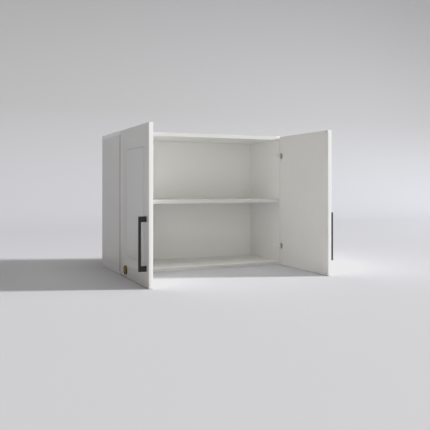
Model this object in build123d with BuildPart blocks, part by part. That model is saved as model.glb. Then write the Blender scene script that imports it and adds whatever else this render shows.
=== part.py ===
from build123d import *
import os

# Hanging wall cabinet with two framed doors standing open at a right angle.
#
# Frame: X across the front, Y into the cabinet, Z up, in millimetres. The origin is the centre of the
# carcass's underside. Both doors are modelled open at 90 degrees, which is the rest pose.
# Everything on the right-hand side is modelled once, and the left-hand piece is its mirror image.

os.makedirs("parts", exist_ok=True)

# ---- driving dimensions: carcass -------------------------------------------------------------------
cabinet_width = 800.0
cabinet_height = 612.0
carcass_depth = 316.0
board = 16.0  # melamine-faced chipboard of the sides, top and bottom
edge_band = 1.0  # ABS edge strip
band_joint = 0.1  # hairline between two strips that meet at a corner
back_thickness = 3.0  # lacquered hardboard
groove_depth = 7.0
groove_play = 0.5  # air between the back panel's rim and the groove's floor

# shelf
shelf_thickness = 16.0
shelf_underside = 298.0  # height above the cabinet's underside
shelf_setback = 10.0  # from the carcass front to the shelf's front edge
shelf_side_play = 1.0
shelf_back_play = 2.0
support_peg_radius = 2.5
support_peg_depth = 8.0
support_tab_length = 10.0
support_tab_width = 12.0
support_tab_thickness = 2.0
support_inset = 60.0  # from the shelf's front and back edges

# hanging rail and its eye plates
rail_height = 80.0
rail_thickness = 12.0
eye_plate_thickness = 2.0
eye_plate_width = 64.0
eye_plate_height = 36.0
eye_radius = 4.5
eye_spacing = 640.0
eye_pocket_radius = 9.0
eye_pocket_depth = 9.0
eye_screw_offset = 22.0
eye_screw_radius = 2.0
eye_screw_head_radius = 3.8
eye_screw_head_height = 1.2
eye_screw_length = 10.0

# corner joints
dowel_radius = 4.0
dowel_length = 30.0
dowel_in_board = 10.0  # share of a dowel that sits in the top, bottom or side board's face
dowel_front_inset = 45.0
dowel_back_inset = 70.0
rail_dowel_inset = 20.0  # from the rail's upper and lower edges
corner_screw_inset = 90.0  # from the front, and from the back plus the rail's cavity
corner_screw_radius = 3.2
corner_screw_length = 46.0
corner_screw_head_radius = 5.0
corner_screw_head_height = 3.5
corner_screw_socket = 4.0  # across the flats
corner_screw_socket_depth = 2.0
cover_cap_thickness = 1.5

# ---- driving dimensions: doors ---------------------------------------------------------------------
door_thickness = 16.0
door_side_reveal = 1.5  # carcass showing outside the closed door
door_end_reveal = 1.5  # carcass showing above and below the door
door_centre_gap = 3.0
door_gap = 3.0  # air between the closed door's back and the carcass front
door_front_rounding = 2.0
door_back_rounding = 0.8
frame_border = 52.0  # flat rim of the door front
moulding_slope = 22.0
moulding_drop = 4.0
moulding_ledge = 12.0
ledge_step = 1.5
bumper_radius = 4.0
bumper_thickness = 2.6
bumper_inset = 14.0  # from the door's free edge

# handle
handle_length = 204.0
handle_width = 12.0
handle_projection = 29.0
handle_bar_thickness = 8.0
handle_foot_length = 20.5
handle_edge_inset = 34.0  # handle's middle line from the door's free edge
handle_bottom = 60.5  # lower end above the cabinet's underside
handle_rounding = 1.5
handle_inner_rounding = 2.5
handle_edge_softening = 0.6
handle_screw_inset = 6.0  # from each end of the handle
handle_screw_radius = 2.0
handle_screw_reach = 10.0  # into the handle's foot
handle_screw_head_radius = 4.0
handle_screw_head_height = 2.5
handle_cap_radius = 5.0
handle_cap_thickness = 2.5
screw_slot_width = 1.2
screw_slot_depth = 1.2

# round badge on the left door
badge_radius = 19.5
badge_rim_width = 3.0
badge_rim_height = 5.0
badge_disc_height = 3.2
badge_edge_inset = 88.0  # from the door's hinge edge
badge_height = 31.0  # above the cabinet's underside

# ---- driving dimensions: single-pivot cup hinges ---------------------------------------------------
hinge_inset = 94.0  # from the cabinet's top and underside
pivot_inset = 7.0  # pin from the door's hinge edge
pivot_depth = 8.5  # pin below the door's inner face
pin_radius = 1.25
pin_play = 0.05
pin_end_inset = 0.2  # from the cup's outer wall
cup_radius = 13.0
cup_wall = 0.8
cup_floor = 0.9
cup_depth = 12.0
cup_edge_distance = 2.5  # cup's rim from the door's hinge edge
flange_thickness = 1.2
flange_rim = 0.5
flange_ear_width = 13.0
flange_screw_spacing = 34.0
cup_screw_radius = 1.6
cup_screw_head_radius = 3.2
cup_screw_length = 11.0
eye_outer_radius = 2.4
arm_half_width = 5.0
arm_thickness = 2.0
arm_crank = 12.5  # from the pin to the arm's near face
arm_bend_radius = 1.5
arm_reach = 36.0  # arm's tail behind the carcass front
plate_half_width = 6.8
plate_start = 6.0
plate_end = 42.0
plate_screw_places = (13.0, 35.0)  # behind the carcass front
plate_screw_radius = 1.75
plate_screw_head_radius = 3.4
plate_screw_head_height = 1.4
plate_screw_length = 14.0
arm_screw_place = 24.0
arm_screw_radius = 2.0
arm_screw_head_radius = 3.2
arm_screw_head_height = 2.0
arm_screw_grip = 1.6  # below the arm, into the plate
cover_start = 4.0
cover_end = 44.0
cover_wall = 1.2
cover_headroom = 3.2  # above the arm, for the screw heads
cover_rounding = 1.0
cover_slot_play = 0.4

# ---- places worked out from the sizes --------------------------------------------------------------
half_width = cabinet_width / 2
inner_x = half_width - board
front_y = -carcass_depth / 2
back_y = carcass_depth / 2
panel_front_y = front_y + edge_band
inner_top_z = cabinet_height - board
rail_back_y = back_y - eye_plate_thickness
rail_front_y = rail_back_y - rail_thickness
back_front_y = rail_front_y - back_thickness
rail_middle_y = rail_front_y + rail_thickness / 2
rail_middle_z = inner_top_z - rail_height / 2
rail_dowel_heights = (inner_top_z - rail_dowel_inset, inner_top_z - rail_height + rail_dowel_inset)

shelf_half_width = inner_x - shelf_side_play
shelf_front_y = front_y + shelf_setback
shelf_back_y = back_front_y - shelf_back_play
support_places = (shelf_front_y + support_inset, shelf_back_y - support_inset)

side_middle_x = half_width - board / 2
dowel_places = (front_y + dowel_front_inset, back_y - dowel_back_inset)
corner_screw_places = (front_y + corner_screw_inset, rail_front_y - corner_screw_inset)

door_width = half_width - door_side_reveal - door_centre_gap / 2
door_height = cabinet_height - 2 * door_end_reveal
pivot_x = half_width - door_side_reveal - pivot_inset
pivot_y = front_y - door_gap - pivot_depth
door_inner_x = pivot_x - pivot_depth
door_outer_x = door_inner_x + door_thickness
door_hinge_y = pivot_y + pivot_inset
door_free_y = door_hinge_y - door_width
door_middle_y = (door_hinge_y + door_free_y) / 2
door_middle_z = cabinet_height / 2

cup_y = door_hinge_y - cup_edge_distance - cup_radius
pin_half_length = (cup_radius**2 - (pivot_y - cup_y + pin_radius)**2)**0.5 - pin_end_inset
arm_near_x = pivot_x - arm_crank
arm_far_x = arm_near_x - arm_thickness
plate_thickness = inner_x - arm_near_x
hook_low_y = pivot_y - eye_outer_radius
hook_high_y = hook_low_y + arm_thickness
cover_top_x = arm_far_x - cover_headroom - cover_wall
cover_half_width = plate_half_width + cover_wall

hinge_heights = {"lower": hinge_inset, "upper": cabinet_height - hinge_inset}
cup_screw_offsets = (-flange_screw_spacing / 2, flange_screw_spacing / 2)

handle_y = door_free_y + handle_edge_inset
handle_top = handle_bottom + handle_length
handle_screw_heights = (handle_bottom + handle_screw_inset, handle_top - handle_screw_inset)
handle_head_x = door_inner_x + handle_cap_thickness + handle_screw_head_height
bumper_y = door_free_y + bumper_inset
bumper_heights = (board / 2, cabinet_height - board / 2)

ALONG_X = (0, 90, 0)
ALONG_Y = (90, 0, 0)
ALONG_Z = (0, 0, 0)


def block(low, high, mode=Mode.ADD):
    """A box between two corners, in the part that is being built."""
    size = [b - a for a, b in zip(low, high)]
    middle = [(a + b) / 2 for a, b in zip(low, high)]
    with Locations(Location(tuple(middle))):
        Box(*size, mode=mode)


def rod(middle, turn, radius, length, mode=Mode.ADD):
    """A round bar, or a hole, about its middle point, lying along X, Y or Z."""
    with Locations(Location(middle, turn)):
        Cylinder(radius, length, mode=mode)


def rod_x(x_from, x_to, y, z, radius, mode=Mode.ADD):
    """A round bar, or a hole, along X between two places."""
    rod(((x_from + x_to) / 2, y, z), ALONG_X, radius, abs(x_to - x_from), mode)


def rod_y(y_from, y_to, x, z, radius, mode=Mode.ADD):
    """A round bar, or a hole, along Y between two places."""
    rod((x, (y_from + y_to) / 2, z), ALONG_Y, radius, abs(y_to - y_from), mode)


def rod_z(z_from, z_to, x, y, radius, mode=Mode.ADD):
    """A round bar, or a hole, along Z between two places."""
    rod((x, y, (z_from + z_to) / 2), ALONG_Z, radius, abs(z_to - z_from), mode)


def save(piece, name):
    """Labels one finished piece and writes it to its own file."""
    piece.part.label = name
    export_step(piece.part, f"parts/{name}.step")


def save_pair(piece, name):
    """Writes the right-hand piece and its mirror image on the left."""
    save(piece, f"{name}_right")
    with BuildPart() as mirrored:
        mirror(piece.part, about=Plane.YZ)
    save(mirrored, f"{name}_left")


def save_both_sides(piece, name):
    """Writes one node that holds the right-hand solids and their mirror images."""
    with BuildPart() as both:
        add(piece.part)
        mirror(piece.part, about=Plane.YZ)
    save(both, name)


# ---- corner joints, shared by the boards and what fits in them ----------------------------------------
# the two ends of a side panel: (height of the joint, outer face of the board, direction outwards)
CORNERS = ((board, 0.0, -1), (inner_top_z, cabinet_height, 1))


def corner_dowel(y, face_z, up, mode):
    """A corner's dowel or its hole; face_z is where the side panel's end meets the board."""
    rod_z(face_z - up * (dowel_length - dowel_in_board), face_z + up * dowel_in_board, side_middle_x, y,
          dowel_radius, mode)


def corner_screw_shank(y, outer_z, up, mode):
    """The shank of a corner screw, which runs from its head down into the side panel's end."""
    under_head = outer_z - up * (cover_cap_thickness + corner_screw_head_height)
    rod_z(under_head, under_head - up * corner_screw_length, side_middle_x, y, corner_screw_radius, mode)


def corner_screw_head(y, outer_z, up, mode):
    """The head of a corner screw, under its cover cap."""
    above_head = outer_z - up * cover_cap_thickness
    rod_z(above_head, above_head - up * corner_screw_head_height, side_middle_x, y,
          corner_screw_head_radius, mode)


def corner_cap(y, outer_z, up, mode):
    """The cover cap over a corner screw, flush with the board."""
    rod_z(outer_z, outer_z - up * cover_cap_thickness, side_middle_x, y, corner_screw_head_radius, mode)


# ---- carcass ----------------------------------------------------------------------------------------
with BuildPart() as side_panel:
    block((inner_x, panel_front_y, board), (half_width, back_y, inner_top_z))
    block((inner_x, back_front_y, board), (inner_x + groove_depth, rail_front_y, inner_top_z), Mode.SUBTRACT)
    for joint_z, outer_z, up in CORNERS:
        for y in dowel_places:
            corner_dowel(y, joint_z, up, Mode.SUBTRACT)
        for y in corner_screw_places:
            corner_screw_shank(y, outer_z, up, Mode.SUBTRACT)
    for y in support_places:
        rod_x(inner_x, inner_x + support_peg_depth, y, shelf_underside - support_peg_radius,
              support_peg_radius, Mode.SUBTRACT)
    for height in hinge_heights.values():
        for place in plate_screw_places:
            rod_x(arm_near_x + plate_screw_head_height,
                  arm_near_x + plate_screw_head_height + plate_screw_length,
                  front_y + place, height, plate_screw_radius, Mode.SUBTRACT)
    for z in rail_dowel_heights:
        rod_x(inner_x, inner_x + dowel_in_board, rail_middle_y, z, dowel_radius, Mode.SUBTRACT)
save_pair(side_panel, "side_panel")

with BuildPart() as side_edge_band:
    block((inner_x, front_y, board), (half_width, panel_front_y, inner_top_z))
save_pair(side_edge_band, "side_edge_band")


def level_board(name, joint_z, outer_z, up):
    """The top or bottom board with its grooves and bores, and the three strips on its edges."""
    low_z, high_z = sorted((joint_z, outer_z))
    panel_end_x = half_width - edge_band
    with BuildPart() as corner_bores:
        for y in dowel_places:
            corner_dowel(y, joint_z, up, Mode.ADD)
        for y in corner_screw_places:
            corner_screw_shank(y, outer_z, up, Mode.ADD)
            corner_screw_head(y, outer_z, up, Mode.ADD)
            corner_cap(y, outer_z, up, Mode.ADD)
    with BuildPart() as panel:
        block((-panel_end_x, panel_front_y, low_z), (panel_end_x, back_y, high_z))
        groove_low, groove_high = sorted((joint_z, joint_z + up * groove_depth))
        block((-inner_x - groove_depth, back_front_y, groove_low),
              (inner_x + groove_depth, rail_front_y, groove_high), Mode.SUBTRACT)
        add(corner_bores.part, mode=Mode.SUBTRACT)
        mirror(corner_bores.part, about=Plane.YZ, mode=Mode.SUBTRACT)
    save(panel, f"{name}_panel")

    with BuildPart() as bands:
        block((-half_width, front_y, low_z), (half_width, panel_front_y, high_z))
        block((panel_end_x, panel_front_y + band_joint, low_z), (half_width, back_y, high_z))
        block((-half_width, panel_front_y + band_joint, low_z), (-panel_end_x, back_y, high_z))
    save(bands, f"{name}_edge_bands")


for board_name, corner in zip(("bottom", "top"), CORNERS):
    level_board(board_name, *corner)

groove_reach = groove_depth - groove_play
with BuildPart() as back_panel:
    block((-inner_x - groove_reach, back_front_y, board - groove_reach),
          (inner_x + groove_reach, rail_front_y, inner_top_z + groove_reach))
save(back_panel, "back_panel")

with BuildPart() as corner_dowels:
    for joint_z, outer_z, up in CORNERS:
        for y in dowel_places:
            corner_dowel(y, joint_z, up, Mode.ADD)
save_both_sides(corner_dowels, "corner_dowels")

with BuildPart() as corner_screws:
    for joint_z, outer_z, up in CORNERS:
        for y in corner_screw_places:
            corner_screw_shank(y, outer_z, up, Mode.ADD)
            corner_screw_head(y, outer_z, up, Mode.ADD)
            with BuildSketch(Plane.XY.offset(outer_z - up * cover_cap_thickness)):
                with Locations((side_middle_x, y)):
                    RegularPolygon(corner_screw_socket / 2, 6, major_radius=False)
            extrude(amount=-up * corner_screw_socket_depth, mode=Mode.SUBTRACT)
save_both_sides(corner_screws, "corner_screws")

with BuildPart() as cover_caps:
    for joint_z, outer_z, up in CORNERS:
        for y in corner_screw_places:
            corner_cap(y, outer_z, up, Mode.ADD)
save_both_sides(cover_caps, "corner_screw_caps")

# ---- shelf ------------------------------------------------------------------------------------------
shelf_top = shelf_underside + shelf_thickness
with BuildPart() as shelf:
    block((-shelf_half_width, shelf_front_y + edge_band, shelf_underside),
          (shelf_half_width, shelf_back_y, shelf_top))
save(shelf, "shelf")

with BuildPart() as shelf_edge_band:
    block((-shelf_half_width, shelf_front_y, shelf_underside),
          (shelf_half_width, shelf_front_y + edge_band, shelf_top))
save(shelf_edge_band, "shelf_edge_band")

with BuildPart() as shelf_supports:
    for y in support_places:
        block((inner_x - support_tab_length, y - support_tab_width / 2,
               shelf_underside - support_tab_thickness),
              (inner_x, y + support_tab_width / 2, shelf_underside))
        rod_x(inner_x - support_tab_length / 2, inner_x + support_peg_depth, y,
              shelf_underside - support_peg_radius, support_peg_radius)
save_both_sides(shelf_supports, "shelf_supports")

# ---- hanging rail, eye plates and their screws --------------------------------------------------------
eye_x = eye_spacing / 2
eye_screw_places = (eye_x - eye_screw_offset, eye_x + eye_screw_offset)

with BuildPart() as rail_dowels:
    for z in rail_dowel_heights:
        rod_x(inner_x + dowel_in_board - dowel_length, inner_x + dowel_in_board, rail_middle_y, z,
              dowel_radius)

with BuildPart() as rail_bores:
    rod_y(rail_back_y - eye_pocket_depth, rail_back_y, eye_x, rail_middle_z, eye_pocket_radius)
    for x in eye_screw_places:
        rod_y(back_y - eye_screw_head_height - eye_screw_length, rail_back_y, x, rail_middle_z,
              eye_screw_radius)
    add(rail_dowels.part)

with BuildPart() as hanging_rail:
    block((-inner_x, rail_front_y, inner_top_z - rail_height), (inner_x, rail_back_y, inner_top_z))
    add(rail_bores.part, mode=Mode.SUBTRACT)
    mirror(rail_bores.part, about=Plane.YZ, mode=Mode.SUBTRACT)
save(hanging_rail, "hanging_rail")
save_both_sides(rail_dowels, "rail_dowels")

with BuildPart() as eye_plate:
    with BuildSketch(Plane.XZ.offset(-rail_back_y)):
        with Locations((eye_x, rail_middle_z)):
            RectangleRounded(eye_plate_width, eye_plate_height, eye_screw_head_radius)
            Circle(eye_radius, mode=Mode.SUBTRACT)
    extrude(amount=-eye_plate_thickness)
    for x in eye_screw_places:
        rod_y(rail_back_y, back_y, x, rail_middle_z, eye_screw_radius, Mode.SUBTRACT)
        rod_y(back_y - eye_screw_head_height, back_y, x, rail_middle_z, eye_screw_head_radius, Mode.SUBTRACT)
save_pair(eye_plate, "eye_plate")

with BuildPart() as eye_plate_screws:
    for x in eye_screw_places:
        rod_y(back_y - eye_screw_head_height - eye_screw_length, back_y, x, rail_middle_z, eye_screw_radius)
        rod_y(back_y - eye_screw_head_height, back_y, x, rail_middle_z, eye_screw_head_radius)
save_both_sides(eye_plate_screws, "eye_plate_screws")

# ---- hinges: each piece is made once, at the lower hinge on the right, and copied ----------------------
hinge_lift = hinge_heights["upper"] - hinge_heights["lower"]
hinge_z = hinge_heights["lower"]


def save_hinge_piece(piece, name):
    """Writes four copies of a hinge piece as nodes of their own: lower and upper, right and left."""
    for level, lift in (("lower", 0.0), ("upper", hinge_lift)):
        with BuildPart() as lifted:
            with Locations((0, 0, lift)):
                add(piece.part)
        save_pair(lifted, f"{name}_{level}")


def save_hinge_screws(piece, name):
    """Writes a side's hinge screws as one node of separate solids, for the right and for the left."""
    with BuildPart() as screws:
        with Locations((0, 0, 0), (0, 0, hinge_lift)):
            add(piece.part)
    save_pair(screws, name)


with BuildPart() as mounting_plate:
    block((arm_near_x, front_y + plate_start, hinge_z - plate_half_width),
          (inner_x, front_y + plate_end, hinge_z + plate_half_width))
    for place in plate_screw_places:
        rod_x(arm_near_x, inner_x, front_y + place, hinge_z, plate_screw_radius, Mode.SUBTRACT)
        rod_x(arm_near_x, arm_near_x + plate_screw_head_height, front_y + place, hinge_z,
              plate_screw_head_radius, Mode.SUBTRACT)
    rod_x(arm_near_x, arm_near_x + arm_screw_grip, front_y + arm_screw_place, hinge_z,
          arm_screw_radius, Mode.SUBTRACT)
save_hinge_piece(mounting_plate, "hinge_plate")

with BuildPart() as plate_screws:
    for place in plate_screw_places:
        rod_x(arm_near_x, arm_near_x + plate_screw_head_height, front_y + place, hinge_z,
              plate_screw_head_radius)
        rod_x(arm_near_x + plate_screw_head_height, arm_near_x + plate_screw_head_height + plate_screw_length,
              front_y + place, hinge_z, plate_screw_radius)
save_hinge_screws(plate_screws, "hinge_plate_screws")

outer_bend = arm_bend_radius + arm_thickness
arm_tail_y = front_y + arm_reach
with BuildPart() as hinge_arm:
    with BuildSketch(Plane.XY.offset(hinge_z - arm_half_width)):
        with BuildLine():
            Line((pivot_x, hook_low_y), (arm_far_x + outer_bend, hook_low_y))
            RadiusArc((arm_far_x + outer_bend, hook_low_y), (arm_far_x, hook_low_y + outer_bend), outer_bend)
            Polyline((arm_far_x, hook_low_y + outer_bend), (arm_far_x, arm_tail_y), (arm_near_x, arm_tail_y),
                     (arm_near_x, hook_high_y + arm_bend_radius))
            RadiusArc((arm_near_x, hook_high_y + arm_bend_radius),
                      (arm_near_x + arm_bend_radius, hook_high_y), -arm_bend_radius)
            Polyline((arm_near_x + arm_bend_radius, hook_high_y), (pivot_x, hook_high_y),
                     (pivot_x, hook_low_y))
        make_face()
        with Locations((pivot_x, pivot_y)):
            Circle(eye_outer_radius)
            Circle(pin_radius + pin_play, mode=Mode.SUBTRACT)
    extrude(amount=2 * arm_half_width)
    rod_x(arm_far_x, arm_near_x, front_y + arm_screw_place, hinge_z, arm_screw_radius, Mode.SUBTRACT)
save_hinge_piece(hinge_arm, "hinge_arm")

with BuildPart() as arm_screws:
    rod_x(arm_far_x - arm_screw_head_height, arm_far_x, front_y + arm_screw_place, hinge_z,
          arm_screw_head_radius)
    rod_x(arm_far_x, arm_near_x + arm_screw_grip, front_y + arm_screw_place, hinge_z, arm_screw_radius)
    block((arm_far_x - arm_screw_head_height, front_y + arm_screw_place - arm_screw_head_radius,
           hinge_z - screw_slot_width / 2),
          (arm_far_x - arm_screw_head_height + screw_slot_depth,
           front_y + arm_screw_place + arm_screw_head_radius, hinge_z + screw_slot_width / 2), Mode.SUBTRACT)
save_hinge_screws(arm_screws, "hinge_arm_screws")

with BuildPart() as arm_cover:
    block((cover_top_x, front_y + cover_start, hinge_z - cover_half_width),
          (inner_x, front_y + cover_end, hinge_z + cover_half_width))
    fillet(arm_cover.faces().sort_by(Axis.X)[0].edges(), cover_rounding)
    block((cover_top_x + cover_wall, front_y + cover_start + cover_wall, hinge_z - plate_half_width),
          (inner_x, front_y + cover_end - cover_wall, hinge_z + plate_half_width), Mode.SUBTRACT)
    block((arm_far_x - cover_slot_play, front_y + cover_start, hinge_z - arm_half_width - cover_slot_play),
          (inner_x, front_y + cover_start + cover_wall, hinge_z + arm_half_width + cover_slot_play),
          Mode.SUBTRACT)
save_hinge_piece(arm_cover, "hinge_arm_cover")

cup_floor_x = door_inner_x + cup_depth
with BuildPart() as hinge_cup:
    with BuildSketch(Plane.YZ.offset(door_inner_x)):
        with Locations((cup_y, hinge_z)):
            Circle(cup_radius)
    extrude(amount=cup_depth)
    with BuildSketch(Plane.YZ.offset(door_inner_x - flange_thickness)):
        with Locations((cup_y, hinge_z)):
            Circle(cup_radius + flange_rim)
            SlotCenterToCenter(flange_screw_spacing, flange_ear_width, rotation=90)
    extrude(amount=flange_thickness)
    rod_x(door_inner_x - flange_thickness, cup_floor_x - cup_floor, cup_y, hinge_z, cup_radius - cup_wall,
          Mode.SUBTRACT)
    rod_z(hinge_z - pin_half_length, hinge_z + pin_half_length, pivot_x, pivot_y, pin_radius, Mode.SUBTRACT)
    for offset in cup_screw_offsets:
        rod_x(door_inner_x - flange_thickness, door_inner_x, cup_y, hinge_z + offset, cup_screw_head_radius,
              Mode.SUBTRACT)
save_hinge_piece(hinge_cup, "hinge_cup")

with BuildPart() as hinge_pin:
    rod_z(hinge_z - pin_half_length, hinge_z + pin_half_length, pivot_x, pivot_y, pin_radius)
save_hinge_piece(hinge_pin, "hinge_pin")

with BuildPart() as cup_screws:
    for offset in cup_screw_offsets:
        z = hinge_z + offset
        rod_x(door_inner_x - flange_thickness, door_inner_x, cup_y, z, cup_screw_head_radius)
        rod_x(door_inner_x, door_inner_x + cup_screw_length, cup_y, z, cup_screw_radius)
        block((door_inner_x - flange_thickness, cup_y - cup_screw_head_radius, z - screw_slot_width / 2),
              (door_inner_x - flange_thickness / 2, cup_y + cup_screw_head_radius, z + screw_slot_width / 2),
              Mode.SUBTRACT)
save_hinge_screws(cup_screws, "hinge_cup_screws")

# ---- doors --------------------------------------------------------------------------------------------
moulding_end = frame_border + moulding_slope
ledge_end = moulding_end + moulding_ledge


def front_opening(inset):
    """The rectangle that lies a distance inside the door front's outline."""
    return door_width - 2 * inset, door_height - 2 * inset


door_front = Plane(origin=(door_outer_x, door_middle_y, door_middle_z), x_dir=(0, 1, 0), z_dir=(1, 0, 0))

with BuildPart() as hinge_side_bores:
    for height in hinge_heights.values():
        rod_x(door_inner_x, door_inner_x + cup_depth, cup_y, height, cup_radius)
        for offset in cup_screw_offsets:
            rod_x(door_inner_x, door_inner_x + cup_screw_length, cup_y, height + offset, cup_screw_radius)

with BuildPart() as handle_bores:
    for z in handle_screw_heights:
        rod_x(door_inner_x, handle_head_x, handle_y, z, handle_cap_radius)
        rod_x(handle_head_x, door_outer_x, handle_y, z, handle_screw_radius)

with BuildPart() as door_panel:
    block((door_inner_x, door_free_y, door_end_reveal),
          (door_outer_x, door_hinge_y, cabinet_height - door_end_reveal))
    fillet(door_panel.faces().sort_by(Axis.X)[-1].edges(), door_front_rounding)
    fillet(door_panel.faces().sort_by(Axis.X)[0].edges(), door_back_rounding)
    with BuildSketch(door_front):
        Rectangle(*front_opening(frame_border))
    with BuildSketch(door_front.offset(-moulding_drop)):
        Rectangle(*front_opening(moulding_end))
    loft(mode=Mode.SUBTRACT)
    with BuildSketch(door_front.offset(-moulding_drop)):
        Rectangle(*front_opening(ledge_end))
    extrude(amount=-ledge_step, mode=Mode.SUBTRACT)
    add(hinge_side_bores.part, mode=Mode.SUBTRACT)
    add(handle_bores.part, mode=Mode.SUBTRACT)
save_pair(door_panel, "door_panel")

with BuildPart() as door_bumpers:
    for z in bumper_heights:
        rod_x(door_inner_x - bumper_thickness, door_inner_x, bumper_y, z, bumper_radius)
save_pair(door_bumpers, "door_bumpers")

# ---- handles --------------------------------------------------------------------------------------------
handle_far_x = door_outer_x + handle_projection
bar_near_x = handle_far_x - handle_bar_thickness
with BuildPart() as handle:
    with BuildSketch(Plane.XZ.offset(-handle_y - handle_width / 2)):
        with BuildLine():
            FilletPolyline((door_outer_x, handle_bottom), (handle_far_x, handle_bottom),
                           (handle_far_x, handle_top), (door_outer_x, handle_top), radius=handle_rounding)
            Line((door_outer_x, handle_top), (door_outer_x, handle_top - handle_foot_length))
            FilletPolyline((door_outer_x, handle_top - handle_foot_length),
                           (bar_near_x, handle_top - handle_foot_length),
                           (bar_near_x, handle_bottom + handle_foot_length),
                           (door_outer_x, handle_bottom + handle_foot_length), radius=handle_inner_rounding)
            Line((door_outer_x, handle_bottom + handle_foot_length), (door_outer_x, handle_bottom))
        make_face()
    extrude(amount=handle_width)
    chamfer(handle.faces().filter_by(Axis.Y).edges().filter_by(lambda e: e.center().X > door_outer_x + 1),
            handle_edge_softening)
    for z in handle_screw_heights:
        rod_x(door_outer_x, door_outer_x + handle_screw_reach, handle_y, z, handle_screw_radius,
              Mode.SUBTRACT)
save_pair(handle, "handle")

with BuildPart() as handle_screws:
    for z in handle_screw_heights:
        rod_x(handle_head_x - handle_screw_head_height, handle_head_x, handle_y, z, handle_screw_head_radius)
        rod_x(handle_head_x, door_outer_x + handle_screw_reach, handle_y, z, handle_screw_radius)
save_pair(handle_screws, "handle_screws")

with BuildPart() as handle_screw_caps:
    for z in handle_screw_heights:
        rod_x(door_inner_x, door_inner_x + handle_cap_thickness, handle_y, z, handle_cap_radius)
save_pair(handle_screw_caps, "handle_screw_caps")

# ---- round badge, on the left door only -----------------------------------------------------------------
badge_y = door_hinge_y - badge_edge_inset
badge_core_radius = badge_radius - badge_rim_width
with BuildPart() as badge_rim:
    rod_x(-door_outer_x - badge_rim_height, -door_outer_x, badge_y, badge_height, badge_radius)
    rod_x(-door_outer_x - badge_rim_height, -door_outer_x, badge_y, badge_height, badge_core_radius,
          Mode.SUBTRACT)
save(badge_rim, "badge_rim")

with BuildPart() as badge_disc:
    rod_x(-door_outer_x - badge_disc_height, -door_outer_x, badge_y, badge_height, badge_core_radius)
save(badge_disc, "badge_disc")

print(f"door {door_width:.1f} x {door_height:.1f} x {door_thickness:.1f} mm")
print(f"depth with the doors closed {carcass_depth + door_gap + door_thickness:.1f} mm")
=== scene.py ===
# %% [markdown]
# # A hanging wall cabinet with two framed doors
# The cabinet is a white melamine box with one shelf, two lacquered doors with a moulded frame, two black bow
# handles and four cup hinges. Its frame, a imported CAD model, is loaded first and never moved. Every piece made
# here takes its place from a CAD node, so nothing has to be fitted by eye.

# %% Load the cabinet's frame
import math

import bpy
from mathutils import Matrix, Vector


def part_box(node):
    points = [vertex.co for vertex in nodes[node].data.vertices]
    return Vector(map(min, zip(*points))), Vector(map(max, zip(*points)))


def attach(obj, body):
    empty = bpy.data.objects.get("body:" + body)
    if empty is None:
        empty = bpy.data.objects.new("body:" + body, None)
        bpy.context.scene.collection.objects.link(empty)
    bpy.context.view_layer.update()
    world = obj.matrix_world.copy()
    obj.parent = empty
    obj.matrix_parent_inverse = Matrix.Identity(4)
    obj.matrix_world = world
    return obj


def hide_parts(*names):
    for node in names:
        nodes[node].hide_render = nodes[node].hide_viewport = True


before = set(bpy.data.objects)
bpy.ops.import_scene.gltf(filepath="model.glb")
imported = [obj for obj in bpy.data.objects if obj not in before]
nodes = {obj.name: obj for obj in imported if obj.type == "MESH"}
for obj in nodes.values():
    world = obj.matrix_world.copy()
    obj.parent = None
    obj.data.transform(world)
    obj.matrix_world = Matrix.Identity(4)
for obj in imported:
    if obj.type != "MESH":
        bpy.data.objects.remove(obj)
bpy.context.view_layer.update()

# %% [markdown]
# ## Camera
# The cabinet is seen a little from its left, from below the height of its own top, so that the left door's
# front and the right door's inner face both show. The camera is level, which keeps the upright edges
# upright, and a small vertical shift frames the cabinet instead of a tilt.

# %% Set up the camera
mm = 0.001
hair = 0.1 * mm  # tells apart points that lie in one plane from the rest
camera_place = (-1.0684, -2.6452, 0.3781)
camera_turn = math.radians(-24.11)
lens_mm, camera_shift = 50, -0.0683

bpy.ops.object.select_all(action="DESELECT")
bpy.ops.object.camera_add(location=camera_place, rotation=(math.radians(90), 0, camera_turn))
camera = bpy.context.object
camera.name = "camera"
camera.data.lens = lens_mm
camera.data.shift_y = camera_shift
bpy.context.scene.camera = camera
bpy.context.scene.view_settings.view_transform = "Standard"
print("camera at", [round(v, 3) for v in camera.location])

# %% [markdown]
# ## Colours and nodes
# Colours are written as the hex values that a colour card gives, and one function turns them into the linear
# values that a renderer adds up. One more function adds a node with its settings and its links, so that a
# material reads as a list of what feeds what.

# %% Colours, nodes and a material's start
def linear(code, alpha=1.0):
    """A hex colour from a colour card as linear values."""
    channels = [int(code[i:i + 2], 16) / 255 for i in (1, 3, 5)]
    return [c / 12.92 if c <= 0.04045 else ((c + 0.055) / 1.055) ** 2.4 for c in channels] + [alpha]


def add_node(material, kind, settings=None, links=None):
    """Adds one node. Settings are the node's own values or its sockets', and links say what feeds a socket."""
    node = material.node_tree.nodes.new(kind)
    for key, value in (settings or {}).items():
        if isinstance(key, int) or key in node.inputs:
            node.inputs[key].default_value = value
        else:
            setattr(node, key, value)
    for key, source in (links or {}).items():
        material.node_tree.links.new(source, node.inputs[key])
    return node


def blend(material, first, second, share):
    """A node that mixes two hex colours by a share from 0 to 1."""
    return add_node(material, "ShaderNodeMix", {"data_type": "RGBA", 6: linear(first), 7: linear(second)},
                    {0: share})


def start_finish(name, **uniform):
    """A new material with its shader, and where a point lies on the piece, in metres."""
    material = bpy.data.materials.new(name)
    material.use_nodes = True
    shader = material.node_tree.nodes["Principled BSDF"]
    for key, value in uniform.items():
        shader.inputs[key.replace("_", " ")].default_value = value
    print("finish:", name)
    place = add_node(material, "ShaderNodeTexCoord").outputs["Object"]
    return material, shader, place


def cells_per_metre(size_mm):
    """A pattern's scale from the real size of one of its cells."""
    return 1 / (size_mm * mm)


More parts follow.
